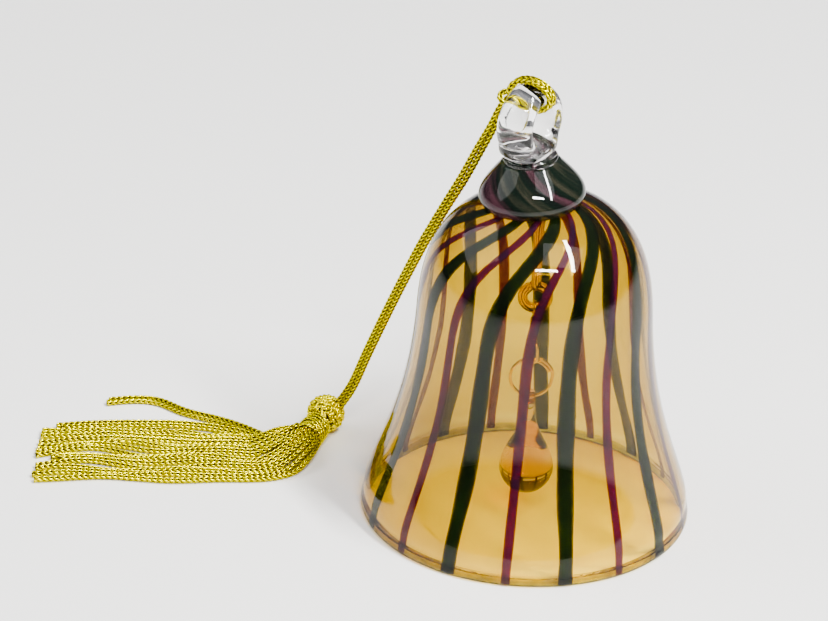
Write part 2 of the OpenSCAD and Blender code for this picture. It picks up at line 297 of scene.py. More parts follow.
def glass(name, keeps, density, ripple, ripple_size, lip=None, ior=GLASS_IOR):
    """Clear glass that takes up light by its thickness, with ripples of a depth and a size.

    lip is the height under which a glow with glints is painted into the surface's colour, for the light that
    runs down inside the wall.
    """
    n = Nodes(name)
    height = n.noise(1 / ripple_size, 1.5)
    base = WHITE
    if lip:
        z = n.add("ShaderNodeSeparateXYZ", Vector=n.place()).outputs[2]
        share = n.add("ShaderNodeMapRange", _0=z, _1=lip, _2=lip * LIP_FADE, _3=0.0, _4=1.0).outputs[0]
        # Painted glow and glints in the rim's colour, full low down and fading out towards the height lip
        base = n.mixed(share, WHITE, n.mixed(n.noise(420), LIP_GLOW_DARK, LIP_GLOW_GLINT))
        rough = n.maths("MULTIPLY", n.noise(900), share)
        height = n.maths("ADD", height, n.maths("MULTIPLY", rough, LIP_ROUGHNESS))
    surface = n.shade(
        Base_Color=base,
        Roughness=0.0,
        IOR=ior,
        Transmission_Weight=1.0,
        Normal=n.bump(height, 1.0, ripple),
    )
    shadow = n.add("ShaderNodeBsdfTransparent", Color=GLASS_SHADOW).outputs[0]
    ray = n.add("ShaderNodeLightPath").outputs["Is Shadow Ray"]
    return n.finish(n.blend(ray, surface, shadow), n.absorbs(keeps, density))


CANE_EDGE = (0.9, 0.8, 0.6, 1)
CANE_EDGE_FALL = 5.0
CANE_COVER = 0.35


def cane_glass(name, through, body):
    """Coloured glass inside the wall: what it lets through, and the little that it gives back.

    It thins out towards its two edges.
    """
    n = Nodes(name)
    across = n.add("ShaderNodeAttribute", {"attribute_name": "across"}).outputs["Fac"]
    cloud = n.noise(260, 3.0)
    edge = n.maths("POWER", n.maths("ABSOLUTE", across), CANE_EDGE_FALL)
    thin = n.maths("ADD", n.maths("MULTIPLY", edge, 0.85), n.maths("MULTIPLY", cloud, 0.12))
    tint = n.mixed(thin, (*through, 1), CANE_EDGE)
    clear = n.add("ShaderNodeBsdfTransparent", Color=tint).outputs[0]
    solid = n.shade(Base_Color=(*body, 1), Roughness=0.5, Specular_IOR_Level=0.0)
    share = n.maths("MULTIPLY", n.maths("SUBTRACT", 1.0, thin), CANE_COVER)
    return n.finish(n.blend(share, clear, solid))


CROWN_TWIST = 190.0
CROWN_KEEPS = (0.52, 0.30, 0.38)
CROWN_DENSITY = 210
CROWN_COLOURS = [
    (0.36, (0.035, 0.034, 0.022)),
    (0.44, (0.004, 0.010, 0.006)),
    (0.54, (0.006, 0.009, 0.007)),
    (0.60, (0.110, 0.045, 0.060)),
    (0.68, (0.030, 0.012, 0.020)),
]
CROWN_COVER = [(0.36, 0.8), (0.48, 0.95), (0.60, 0.6), (0.68, 0.2)]


def crown_glass():
    """Dark smoky glass that takes up most light, with green and violet bands that wind up round it."""
    n = Nodes("crown_glass")
    x, y, z = n.add("ShaderNodeSeparateXYZ", Vector=n.place()).outputs
    turn = n.maths("ADD", n.maths("ARCTAN2", y, x), n.maths("MULTIPLY", z, CROWN_TWIST))
    place = n.add(
        "ShaderNodeCombineXYZ",
        X=n.maths("COSINE", turn),
        Y=n.maths("SINE", turn),
        Z=n.maths("MULTIPLY", z, 30.0),
    ).outputs[0]
    bands = n.noise(1.5, 2.0, place, 0.5)
    fine = n.noise(9.0, 3.0, place, 0.8)
    value = n.maths("ADD", n.maths("MULTIPLY", bands, 0.85), n.maths("MULTIPLY", fine, 0.15))
    colour = n.ramp(value, *CROWN_COLOURS)
    cover = n.ramp(value, *[(at, (share,) * 3) for at, share in CROWN_COVER])
    solid = n.shade(Base_Color=colour, Roughness=0.02, IOR=THIN_GLASS_IOR)
    clear = n.shade(Base_Color=WHITE, Roughness=0.0, IOR=THIN_GLASS_IOR, Transmission_Weight=1.0)
    return n.finish(n.blend(cover, clear, solid), n.absorbs(CROWN_KEEPS, CROWN_DENSITY))


WIRE_DARK = (0.82, 0.58, 0.18, 1)
WIRE_BRIGHT = (0.92, 0.72, 0.30, 1)


def wire_metal():
    """Bright gold wire, with fine drawing marks."""
    n = Nodes("gold_wire")
    marks = n.bump(n.noise(1800), 0.3, 0.00002)
    colour = n.mixed(n.noise(300, 1.0), WIRE_DARK, WIRE_BRIGHT)
    return n.finish(n.shade(Base_Color=colour, Metallic=1.0, Roughness=0.16, Normal=marks))


# Painted shade between the plies: full where outer is below the first value, none above the second
YARN_FULL_SHADE_AT = 0.66
YARN_NO_SHADE_AT = 1.04
YARN_GLINT = (1.0, 0.85, 0.15, 1)


def yarn(name, deep, dark, light):
    """Shiny gold yarn: fine fibres that catch the light, with shade painted dark where it lies deep.

    The attribute outer says how far out each corner is, from 0 in the cord's middle to 1, and sets how much
    of the painted shade (deep) each corner gets.
    """
    n = Nodes(name)
    fibres = n.noise(4200)
    patches = n.noise(350)
    outer = n.add("ShaderNodeAttribute", {"attribute_name": "outer"}).outputs["Fac"]
    levels = {"_1": YARN_FULL_SHADE_AT, "_2": YARN_NO_SHADE_AT, "_3": 0.0, "_4": 1.0}
    # The share of the yarn's own colour over its painted shade, from how far out each corner is
    unshaded = n.add("ShaderNodeMapRange", _0=outer, **levels).outputs[0]
    mix = n.maths("ADD", n.maths("MULTIPLY", fibres, 0.25), n.maths("MULTIPLY", patches, 0.75))
    colour = n.mixed(unshaded, (*deep, 1), n.mixed(mix, (*dark, 1), (*light, 1)))
    rough = n.maths("ADD", n.maths("MULTIPLY", fibres, 0.12), 0.20)
    return n.finish(
        n.shade(
            Base_Color=colour,
            Metallic=0.9,
            Roughness=rough,
            Specular_Tint=YARN_GLINT,
            Normal=n.bump(fibres, 0.4, 0.00002),
        )
    )


# How high the bell rim's painted glow reaches
LIP_GLOW_H = 0.0018

# Each clear glass: the colour it lets by, its density, and its ripples' depth and size
AMBER = glass("amber_bell_glass", (0.822, 0.700, 0.01), 1350, 0.00004, 0.012, LIP_GLOW_H, THIN_GLASS_IOR)
AMBER_SOLID = glass("amber_glass", (0.93, 0.78, 0.05), 1700, 0.00002, 0.003)
PALE_AMBER = glass("pale_amber_glass", (0.88, 0.72, 0.30), 200, 0.00003, 0.005)
CLEAR = glass("clear_glass", (0.93, 0.80, 0.78), 14, 0.00008, 0.003)

# Each cane's glass: the colour it lets through and the one it gives back
GREEN = cane_glass("green_glass", (0.07, 0.17, 0.06), (0.006, 0.014, 0.005))
PURPLE = cane_glass("purple_glass", (0.46, 0.13, 0.46), (0.040, 0.010, 0.060))
CROWN = crown_glass()
WIRE = wire_metal()

# Each yarn: its painted shade deep down between its plies, and its darker and lighter patches
GOLD = yarn("gold_cord", (0.05, 0.028, 0.001), (0.88, 0.70, 0.008), (1.0, 0.98, 0.025))
THREAD = yarn("binding_thread", (0.05, 0.028, 0.001), (0.92, 0.74, 0.010), (1.0, 0.98, 0.025))


# ---- Cord and tassel ----

CORD_D = 0.0011

# The knit: ropes of two plies round the cord's line. The last three are shares of the cord's width.
STITCH = 0.00108
STITCH_STEPS = 8
ROPES = 4
ROPE_TURN = 0.4
PLY_SIDES = 5
ROPE_OFF = 0.24
PLY_OFF = 0.12
PLY_R = 0.185

# The route of the pair of legs, from the hitch over the bell's shoulder to the tassel's head
LEG = [
    (-0.0077, 0.0031, 0.0794),
    (-0.0092, 0.0042, 0.0750),
    (-0.0114, 0.0058, 0.0695),
    (-0.0139, 0.0075, 0.0632),
    (-0.0165, 0.0093, 0.0573),
    (-0.0190, 0.0114, 0.0513),
    (-0.0214, 0.0134, 0.0453),
    (-0.0258, 0.0174, 0.0330),
    (-0.0301, 0.0213, 0.0202),
    (-0.0330, 0.0242, 0.0110),
    (-0.0356, 0.0258, 0.0056),
]
# The legs lie side by side across the eye at first, and across LEG_STACK from the fifth point on
LEG_APART = 0.00053
LEG_STACK = np.array([0.69, -0.55, -0.48])
LEG_BLEND = 5

# The glass eye: how far it is turned from facing the front, its rod's width and its depth
EYE_TURN = math.radians(58)
EYE_ROD = 0.0042
EYE_DEPTH = 0.0070

# The hitch: its bight across the eye's left face, and its turns round the eye's rod, in degrees
BIGHT = [
    (-0.0018, -0.0046, -0.0019),
    (-0.0013, -0.0057, -0.0014),
    (0.0, -0.0060, -0.0012),
    (0.0013, -0.0057, -0.0014),
    (0.0018, -0.0046, -0.0019),
]
WRAP_SIDE = 0.0006
WRAP_FROM = 200
WRAP_TO = -130
WRAP_STEP = 5
WRAP_GAP = 0.0001
WRAP_A = EYE_DEPTH / 2 + CORD_D / 2 + WRAP_GAP
WRAP_B = EYE_ROD / 2 + CORD_D / 2 + WRAP_GAP
EYE_LOW, EYE_HIGH = (np.array(corner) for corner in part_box("hanging_eye"))
EYE_MIDDLE = (EYE_LOW + EYE_HIGH) / 2
EYE_TOP = EYE_MIDDLE + [0, 0, EYE_HIGH[2] - EYE_MIDDLE[2] - EYE_ROD / 2]
ACROSS_EYE = np.array([math.cos(EYE_TURN), math.sin(EYE_TURN), 0])
THROUGH_EYE = np.array([math.sin(EYE_TURN), -math.cos(EYE_TURN), 0])

# The tassel's head, and its neck: the way it points, where it starts and ends from the head, and its height
HEAD_LOW, HEAD_HIGH = (np.array(corner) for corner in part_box("tassel_head"))
HEAD_AT = (HEAD_LOW + HEAD_HIGH) / 2
HEAD_R = (HEAD_HIGH[2] - HEAD_LOW[2]) / 2
NECK_DIR = unit(np.array([-0.37, -0.93, 0]))
NECK_FROM = 0.0030
NECK_TO = 0.0088
NECK_Z = 0.0027

# The skirt's front and back edges on the table
SKIRT_FRONT = [
    (-0.0388, 0.0186),
    (-0.0391, 0.0146),
    (-0.0409, 0.0100),
    (-0.0442, 0.0068),
    (-0.0500, 0.0042),
    (-0.0578, 0.0036),
    (-0.0670, 0.0031),
    (-0.0755, 0.0034),
    (-0.0840, 0.0026),
    (-0.0940, 0.0012),
]
SKIRT_BACK = [
    (-0.0424, 0.0201),
    (-0.0438, 0.0198),
    (-0.0459, 0.0198),
    (-0.0488, 0.0200),
    (-0.0535, 0.0204),
    (-0.0590, 0.0208),
    (-0.0665, 0.0214),
    (-0.0745, 0.0218),
    (-0.0830, 0.0208),
    (-0.0930, 0.0192),
]

# The strands that leave the skirt's back in an arc, and the ones that lie apart
SKIRT_ARC = [
    (-0.0405, 0.0216, 0.0028),
    (-0.0418, 0.0197, 0.0028),
    (-0.0450, 0.0192, 0.0026),
    (-0.0495, 0.0206, 0.0020),
    (-0.0545, 0.0232, 0.0012),
    (-0.0605, 0.0248, 0.0006),
    (-0.0665, 0.0254, 0.0006),
    (-0.0725, 0.0250, 0.0006),
    (-0.0785, 0.0245, 0.0006),
    (-0.0845, 0.0236, 0.0006),
    (-0.0900, 0.0220, 0.0006),
]
STRAY_ROOT = [
    (-0.0403, 0.0214, 0.0036),
    (-0.0416, 0.0198, 0.0038),
    (-0.0440, 0.0194, 0.0035),
    (-0.0470, 0.0198, 0.0026),
]
STRAY = [
    (-0.0500, 0.0208, 0.0016),
    (-0.0550, 0.0246, 0.0006),
    (-0.0605, 0.0274, 0.0006),
    (-0.0660, 0.0294, 0.0006),
    (-0.0700, 0.0331, 0.0006),
    (-0.0745, 0.0340, 0.0006),
    (-0.0805, 0.0324, 0.0006),
]
STRAND_APART = np.array([0.00035, 0.00108, 0])

# The most that each strand may measure, from the neck to its cut end, from the skirt's front to its back
SKIRT_LENGTHS = [
    0.0638, 0.0631, 0.0610, 0.0602, 0.0542, 0.0546,
    0.0580, 0.0586, 0.0556, 0.0562, 0.0534, 0.0540,
]
UNDER_LENGTHS = [0.0560, 0.0545, 0.0552, 0.0530]
ARC_LENGTHS = [0.0515, 0.0500]
STRAY_LENGTH = 0.0480
STRAYS = 2

# A cut end frays: how much wider it is, and over what length
END_FLARE = 0.3
END_FLARE_L = 0.0006


def knitted(line, flare=0.0):
    """A knitted cord: ropes of two plies round its line, laid by turns to the left and to the right.

    flare is how much wider its last end is.
    """
    line = evenly(line, STITCH / STITCH_STEPS)
    along, u, v = sides_of(line)
    s = distances(line)
    spread = 1 + flare * np.exp((s - s[-1]) / END_FLARE_L)
    parts, outer = [], []
    for rope in range(ROPES):
        a = TAU * rope / ROPES + ROPE_TURN
        out = math.cos(a) * u + math.sin(a) * v
        centre = line + (CORD_D * ROPE_OFF * spread)[:, None] * out
        lay = 1 if rope % 2 else -1
        for ply in range(2):
            b = lay * math.pi * s / STITCH + math.pi * ply
            radial = np.cos(b)[:, None] * out + np.sin(b)[:, None] * np.cross(along, out)
            path = centre + (CORD_D * PLY_OFF * spread)[:, None] * radial
            parts.append(tube(path, CORD_D * PLY_R, PLY_SIDES, radial))
            # How far out each ply's corners lie from the cord's line; the yarn paints shade on the ones that
            # lie deep
            off = parts[-1][0].reshape(len(line), PLY_SIDES, 3) - line[:, None]
            outer.append(np.linalg.norm(off, axis=2).ravel() / (CORD_D / 2))
    return joined(parts), ("outer", np.concatenate(outer))


def at_eye(p):
    """A place from the middle of the eye's top: across the eye, through it, and up."""
    return EYE_TOP + p[0] * ACROSS_EYE + p[1] * THROUGH_EYE + np.array([0, 0, p[2]])


def wrap(side, start, end, step):
    """Points round the rod of the eye's top, from one angle to another."""
    angles = np.radians(np.arange(start, end + step / 2, step))
    return [at_eye((side * WRAP_SIDE, WRAP_A * math.cos(a), WRAP_B * math.sin(a))) for a in angles]


def hitch_line():
    """The hitch's route: up round the eye's rod, across in a bight, and back round it."""
    route = [
        *wrap(-1, WRAP_FROM, WRAP_TO, -WRAP_STEP),
        *[at_eye(p) for p in BIGHT],
        *wrap(1, WRAP_TO, WRAP_FROM, WRAP_STEP),
    ]
    return smooth(route, 3)


def leg_line(side):
    """A leg's route, from the hitch's end to the tassel's head."""
    route = wrap(side, WRAP_FROM, WRAP_FROM, 1)
    for i, p in enumerate(LEG):
        share = min((i + 1) / LEG_BLEND, 1)
        apart = unit((1 - share) * ACROSS_EYE + share * LEG_STACK)
        route.append(np.array(p) + side * LEG_APART * apart)
    return smooth(route, 20)


# How far apart the points of a cut strand are
CUT_STEP = 0.0002


def cut(line, length):
    """The line, ended at a length."""
    line = evenly(line, CUT_STEP)
    return line[distances(line) <= length]


def strand(name, line, length, replaces):
    """One free strand of the tassel."""
    path = cut(line, length)
    length = round(float(distances(path)[-1]), 4)
    shape, layer = knitted(path, END_FLARE)
    obj = piece(name, shape, GOLD, replaces, layer=layer)


# How strands come to lie: points on each, how many the neck holds, and where they start to fall
STATIONS = 120
HELD = 8
FALL_FROM = 0.14
FALL_OVER = 0.2
SETTLE_ROUNDS = 110
SETTLE_STEP = 0.00003
SETTLE_EASE = 0.15
TABLE_GAP = 0.00016


def settle(lines):
    """Moves strands apart where they lie in each other, and lets them down on the table."""
    held = HELD
    fall = SETTLE_STEP * np.clip((np.linspace(0, 1, STATIONS) - FALL_FROM) / FALL_OVER, 0, 1)
    for _ in range(SETTLE_ROUNDS):
        lines[:, held:, 2] -= fall[held:]
        for a in range(len(lines)):
            for b in range(a + 1, len(lines)):
                apart = lines[b] - lines[a]
                gap = np.linalg.norm(apart, axis=1)
                push = np.clip(CORD_D - gap, 0, None) / 2
                move = apart / np.maximum(gap, 1e-6)[:, None] * push[:, None]
                move[:held] = 0
                lines[a] -= move
                lines[b] += move
        beside = lines[:, held - 1 : -2] + lines[:, held + 1 :]
        lines[:, held:-1] = lines[:, held:-1] * (1 - 2 * SETTLE_EASE) + beside * SETTLE_EASE
        lines[:, :, 2] = np.maximum(lines[:, :, 2], CORD_D / 2 + TABLE_GAP)
    return lines


def at_stations(route, steps):
    """A smooth line through a route, as STATIONS points evenly apart."""
    line = smooth(route, steps)
    s = distances(line)
    at = np.linspace(0, s[-1], STATIONS)
    return np.stack([np.interp(at, s, line[:, k]) for k in range(3)], axis=1)


# How far the skirt's strands sway to the side, all in one way, in bunches, and each on its own
SWAY_TOGETHER = 0.0012
SWAY_BUNCHED = 0.0007
SWAY_ALONE = 0.0006

# The bundle in the neck, the share of its length over which it comes down, and how deep its roots lie
BUNDLE_R = 0.001875
COME_DOWN = 0.26
ROOT_L = 0.0020


def skirt_line(share, level, waver):
    """A strand's route, at a share of the way from the skirt's front to its back.

    level is 1 for a strand in the neck's upper half and -1 in its lower half.
    """
    s = np.linspace(0, 1, STATIONS)
    front, back = (at_stations([(*p, 0.0) for p in edge], 10) for edge in (SKIRT_FRONT, SKIRT_BACK))
    line = front * (1 - share) + back * share
    inside = 4 * share * (1 - share)
    sway = SWAY_TOGETHER * inside * np.sin(TAU * (2.3 * s + 0.6 * share + 0.1))
    sway += SWAY_BUNCHED * inside * np.sin(TAU * (3.1 * share + 1.7 * s))
    sway += SWAY_ALONE * np.sin(TAU * (waver[0] * s + waver[1]))
    line[:, 1] += sway * np.clip(3 * s, 0, 1)
    layer = level * BUNDLE_R * math.sqrt(max(0.0, 1 - (2 * share - 1) ** 2))
    line[:, 2] = CORD_D / 2 + (NECK_Z + layer - CORD_D / 2) * np.exp(-((s / COME_DOWN) ** 2))
    root = line[0] - ROOT_L * NECK_DIR
    return at_stations([root, line[0], *line[4::4]], 6)


def skirt_lines():
    """The routes of the upper strands, the under strands, the arc's and the two that lie apart."""
    rng = random.Random(7)
    lines = []
    for lengths, level, first in ((SKIRT_LENGTHS, 1, 0.0), (UNDER_LENGTHS, -1, 0.5)):
        for i in range(len(lengths)):
            share = (i + first) / (len(lengths) - 1 + first)
            lines.append(skirt_line(share, level, (rng.uniform(2.0, 4.5), rng.random())))
    for i in range(len(ARC_LENGTHS)):
        lines.append(at_stations([np.array(p) - i * STRAND_APART for p in SKIRT_ARC], 10))
    for i in range(STRAYS):
        route = [*STRAY_ROOT, *[np.array(p) + i * STRAND_APART for p in STRAY]]
        lines.append(at_stations(route, 20))
    return settle(np.array(lines))


def make_skirt():
    """The skirt's strands and the two that lie apart."""
    lines = [smooth(line, 3) for line in skirt_lines()]
    for i, length in enumerate(SKIRT_LENGTHS + UNDER_LENGTHS + ARC_LENGTHS):
        strand(f"skirt_strand_{i + 1}", lines[i], length, ["tassel_skirt"])
    for i, line in enumerate(lines[-STRAYS:]):
        strand(f"stray_cord_{i + 1}", line, STRAY_LENGTH, [f"stray_strand_{i + 1}"])


# The ball's weave: bands of yarns side by side, how far they go in and out as a share of the yarn's width,
# and the angle at each pole where they end
BALL_AXIS = unit(np.array([-0.52, 0.05, -0.85]))
BALL_BANDS = 10
BALL_YARNS = 2
BALL_YARN_D = 0.00062
BALL_STITCH = 0.00085
BALL_BEAD = 0.11
BALL_WEAVE = 0.55
BALL_POLE = 0.16


def ball_shape():
    """A woven ball: bands of yarn wind both ways from pole to pole, over and under each other."""
    along = BALL_AXIS
    u = unit(np.cross(along, [0, 1, 0]))
    v = np.cross(along, u)
    r = HEAD_R - BALL_YARN_D * 1.05
    parts = []
    theta = np.linspace(BALL_POLE, math.pi - BALL_POLE, 180)
    for way in (-1, 1):
        for band in range(BALL_BANDS):
            for yarn_at in range(BALL_YARNS):
                offset = (yarn_at - (BALL_YARNS - 1) / 2) * BALL_YARN_D * 0.98 / r
                phi = TAU * band / BALL_BANDS + way * theta + offset / np.maximum(np.sin(theta), 0.35)
                height = r + way * np.cos(BALL_BANDS * theta) * BALL_YARN_D * BALL_WEAVE
                out = (
                    np.sin(theta)[:, None] * (np.cos(phi)[:, None] * u + np.sin(phi)[:, None] * v)
                    + np.cos(theta)[:, None] * along
                )
                line = HEAD_AT + height[:, None] * out
                beads = 0.5 + BALL_BEAD * np.sin(TAU * (distances(line) / BALL_STITCH + yarn_at / 2))
                parts.append(tube(line, BALL_YARN_D * beads, 8, out))
    # An inner ball under the weave, which takes nearly the full painted shade and shows dark between the
    # yarns
    polar = np.linspace(0, math.pi, 25)
    outline = (r - BALL_YARN_D * 0.1) * np.stack([np.sin(polar), np.cos(polar)], axis=1)
    outline[[0, -1], 0] = 0
    corners, faces = revolved(outline, 40)
    parts.append((corners + HEAD_AT, faces))
    corners, faces = joined(parts)
    # How far out each corner lies; the yarn paints shade on the deep ones
    outer = 1.08 - (HEAD_R - np.linalg.norm(corners - HEAD_AT, axis=1)) / (BALL_YARN_D * 2.8)
    return (corners, faces), ("outer", outer)


# The neck's binding: its thread, and each layer's turns, slant and height over the first
NECK_THREAD = 0.00052
NECK_THREAD_SIDES = 8
NECK_BEAD = 0.0007
NECK_LAYERS = [
    (11, 0.0006, 0.0),
    (5, -0.0011, NECK_THREAD / 2),
]
NECK_TOP_R = 0.0022
NECK_END_R = 0.0024
NECK_RISE = 0.0001
NECK_MARGIN = 0.0004
NECK_UNEVEN = 0.015


def neck_radius(t):
    """The neck's radius, from the ball at 0 to the skirt at 1."""
    return NECK_TOP_R + (NECK_END_R - NECK_TOP_R) * np.sin(1.9 * t)


def neck_shape():
    """The neck's binding: fine thread wound round the strands, slanted one way and then the other."""
    v = np.cross(NECK_DIR, UP)
    middle = np.array([HEAD_AT[0], HEAD_AT[1], NECK_Z])
    parts, outer = [], []
    for turns, slant, lift in NECK_LAYERS:
        t = np.linspace(0, 1, turns * 100)
        a = TAU * turns * t
        wound_to = t + NECK_UNEVEN * np.sin(a * 0.37 + 1)
        run = NECK_FROM + NECK_MARGIN + (NECK_TO - NECK_FROM - 2 * NECK_MARGIN) * wound_to
        r = neck_radius(t) * (1 + NECK_UNEVEN * np.sin(2.3 * a)) + lift
        out = np.cos(a)[:, None] * UP + np.sin(a)[:, None] * v
        line = middle + (run + slant * np.sin(a + 0.8))[:, None] * NECK_DIR + r[:, None] * out
        line[:, 2] = np.maximum(line[:, 2] + NECK_RISE * t, NECK_THREAD / 2 + 0.00004)
        beads = 0.5 + 0.08 * np.sin(TAU * distances(line) / NECK_BEAD)
        parts.append(tube(line, NECK_THREAD * beads, NECK_THREAD_SIDES, out))
        off = parts[-1][0].reshape(len(line), NECK_THREAD_SIDES, 3) - line[:, None]
        # How far out each corner lies across the thread; the side towards the strands gets painted shade
        outer.append(0.6 + 0.9 * np.einsum("ijk,ik->ij", off, out).ravel() / NECK_THREAD)
    ends = [middle + NECK_DIR * NECK_FROM, middle + NECK_DIR * (NECK_TO - 0.0003) + [0, 0, NECK_RISE]]
    core = evenly(np.array(ends), 0.0003)
    parts.append(tube(core, neck_radius(np.linspace(0, 1, len(core))) - NECK_THREAD * 0.4, 28))
    # The strands under the binding take the full painted shade, which shows dark between the turns
    outer.append(np.full(len(parts[-1][0]), 0.2))
    return joined(parts), ("outer", np.concatenate(outer))


def make_cord():
    """The tassel's head and neck, the hitch, the two legs and the skirt."""
    shape, layer = ball_shape()
    head = piece("woven_head", shape, GOLD, ["tassel_head"], layer=layer)
    shape, layer = neck_shape()
    neck = piece("neck_binding", shape, THREAD, ["tassel_neck"], layer=layer)
    shape, layer = knitted(hitch_line())
    hitch = piece("eye_hitch", shape, GOLD, ["cord_hitch"], layer=layer)
    for i, side in enumerate((-1, 1)):
        line = leg_line(side)
        shape, layer = knitted(line)
        name, node = f"cord_strand_{i + 1}", f"cord_leg_{i + 1}"
        leg = piece(name, shape, GOLD, [node], layer=layer)
    make_skirt()


make_cord()


# ---- The bell's wall and its canes ----

WALL_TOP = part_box("bell_shell")[1]
MOUTH_R = WALL_TOP.x
TOP_Z = WALL_TOP.z
WAIST_R, WAIST_Z = 0.0215, 0.0413
WALL = 0.0012
SHOULDER_WALL = 0.0019
LIP_W = 0.0017
LIP_RISE = 0.0010

# A shallow groove round the mouth, on both faces of the wall: its depth, height and width
GROOVE, GROOVE_Z, GROOVE_W = 0.00020, 0.0030, 0.0011

# The wall's outside, as radius and height: from the lip to the waist, and from there to the top
FLARE_CURVE = np.array(
    [
        (MOUTH_R, LIP_RISE),
        (MOUTH_R - 0.0002, LIP_RISE + 0.0075),
        (WAIST_R + 0.0012, WAIST_Z - 0.0234),
        (WAIST_R, WAIST_Z),
    ]
)
SHOULDER_CURVE = np.array(
    [
        (WAIST_R, WAIST_Z),
        (WAIST_R - 0.0006, WAIST_Z + 0.012),
        (0.0172, TOP_Z - 0.0018),
        (0, TOP_Z),
    ]
)


def bezier(p, t):
    """Points at the shares t of a curve with four control points."""
    t = np.asarray(t, float)[:, None]
    return p[0] * (1 - t) ** 3 + 3 * p[1] * t * (1 - t) ** 2 + 3 * p[2] * t * t * (1 - t) + p[3] * t**3


def inward(p, t, thick):
    """Points a thickness inside a curve."""
    t = np.asarray(t, float)
    slope = (
        3 * (p[1] - p[0]) * ((1 - t) ** 2)[:, None]
        + 6 * (p[2] - p[1]) * (t * (1 - t))[:, None]
        + 3 * (p[3] - p[2]) * (t * t)[:, None]
    )
    across = unit(np.stack([-slope[:, 1], slope[:, 0]], axis=1))
    return bezier(p, t) + np.broadcast_to(thick, len(t))[:, None] * across


def wall_outline():
    """Half a section of the wall: up the outside, down the inside, and round the lip."""
    low, high = np.linspace(0, 1, 90), np.linspace(0, 1, 46)[1:]
    outer = np.vstack([bezier(FLARE_CURVE, low), bezier(SHOULDER_CURVE, high)])
    back = high[::-1][1:]
    inner_high = inward(SHOULDER_CURVE, back, WALL + (SHOULDER_WALL - WALL) * back**2)
    inner_low = inward(FLARE_CURVE, low[::-1][:-4], WALL)
    inner = np.vstack([inner_high, inner_low])
    outer[:, 0] -= GROOVE * np.exp(-(((outer[:, 1] - GROOVE_Z) / GROOVE_W) ** 2))
    inner[:, 0] += GROOVE * np.exp(-(((inner[:, 1] - GROOVE_Z) / GROOVE_W) ** 2))
    a = np.linspace(math.radians(165), math.radians(355), 17)
    middle = np.array([MOUTH_R - LIP_W / 2, LIP_W / 2])
    lip = middle + LIP_W / 2 * np.stack([np.cos(a), np.sin(a)], axis=1)
    return outer, inner, lip


def blown(a, z):
    """How much wider or narrower than round the blown wall is, at an angle and a height."""
    return 1 + 0.0016 * np.sin(2 * a + 1.3 + 30 * z) + 0.0008 * np.sin(5 * a + 90 * z)


def wall_shape():
    """The bell's wall, closed over at its top."""
    outer, inner, lip = wall_outline()
    top_inside = (0, TOP_Z - SHOULDER_WALL)
    outline = np.vstack([[top_inside], inner, lip, outer])
    outline[-1, 0] = 0
    return revolved(outline, 240, blown)


# A cane: its points along and across, how deep it lies in the wall, how thick it is, and how near in height
# the corners of one of its rows are
CANE_STATIONS = 90
CANE_ACROSS = 9
CANE_DEPTH = 0.00016
CANE_THICK = 0.00045
SAME_HEIGHT = 6e-6


def cane_rows(node):
    """The middle angle and half angle of a CAD cane at each of its heights."""
    co = np.array([v.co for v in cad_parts[node].data.vertices])
    heights = np.unique(np.round(co[:, 2], 5))
    rows = []
    for z in heights:
        at = co[abs(co[:, 2] - z) < SAME_HEIGHT]
        middle = np.arctan2(*unit(at[:, :2]).mean(axis=0)[::-1])
        spread = (np.arctan2(at[:, 1], at[:, 0]) - middle + math.pi) % TAU - math.pi
        rows.append((z, middle, (spread.max() - spread.min()) / 2))
    rows = np.array(rows)
    rows[:, 1] = np.unwrap(rows[:, 1])
    return rows


def lens_faces(n, m):
    """Faces of a lens: a front and a back grid of n by m corners that share their long edges."""
    front, back = np.arange(2 * n * m).reshape(2, n, m)
    back[:, 0], back[:, -1] = front[:, 0], front[:, -1]
    faces = []
    for i in range(n - 1):
        for k in range(m - 1):
            faces.append([front[i, k], front[i, k + 1], front[i + 1, k + 1], front[i + 1, k]])
            faces.append([back[i, k], back[i + 1, k], back[i + 1, k + 1], back[i, k + 1]])
    faces.append([*front[0], *back[0, -2:0:-1]][::-1])
    faces.append([*front[-1], *back[-1, -2:0:-1]])
    return [[int(corner) for corner in face] for face in faces]


def cane_shape(node, seed):
    """A thin lens of coloured glass that lies in the wall, and how far across it each corner is."""
    rows = cane_rows(node)
    outer = wall_outline()[0]
    z = 1 - (1 - np.linspace(0, 1, CANE_STATIONS)) ** 1.6
    z = rows[0, 0] + (rows[-1, 0] - rows[0, 0]) * z
    r = np.interp(z, outer[:, 1], outer[:, 0])
    slope = unit(np.gradient(np.stack([r, z], axis=1), axis=0))
    angle, half = (np.interp(z, rows[:, 0], rows[:, k]) for k in (1, 2))
    rng = random.Random(seed)
    phase = [rng.random() * TAU for _ in range(3)]
    half = half * (1 + 0.05 * np.sin(z * 420 + phase[0]) + 0.05 * np.sin(z * 150 + phase[1]))
    angle = angle + 0.002 * np.sin(z * 170 + phase[2])
    across = np.linspace(-1, 1, CANE_ACROSS)
    a = angle[:, None] + half[:, None] * across
    corners = []
    for face in (-1, 1):
        depth = CANE_DEPTH + CANE_THICK / 2 + face * CANE_THICK / 2 * (1 - across**4)
        inset_r = r[:, None] - depth * slope[:, 1:2]
        inset_z = z[:, None] + depth * slope[:, 0:1]
        corners.append(np.stack([inset_r * np.cos(a), inset_r * np.sin(a), inset_z], axis=-1).reshape(-1, 3))
    shape = np.vstack(corners), lens_faces(CANE_STATIONS, CANE_ACROSS)
    return shape, ("across", np.tile(across, 2 * CANE_STATIONS))


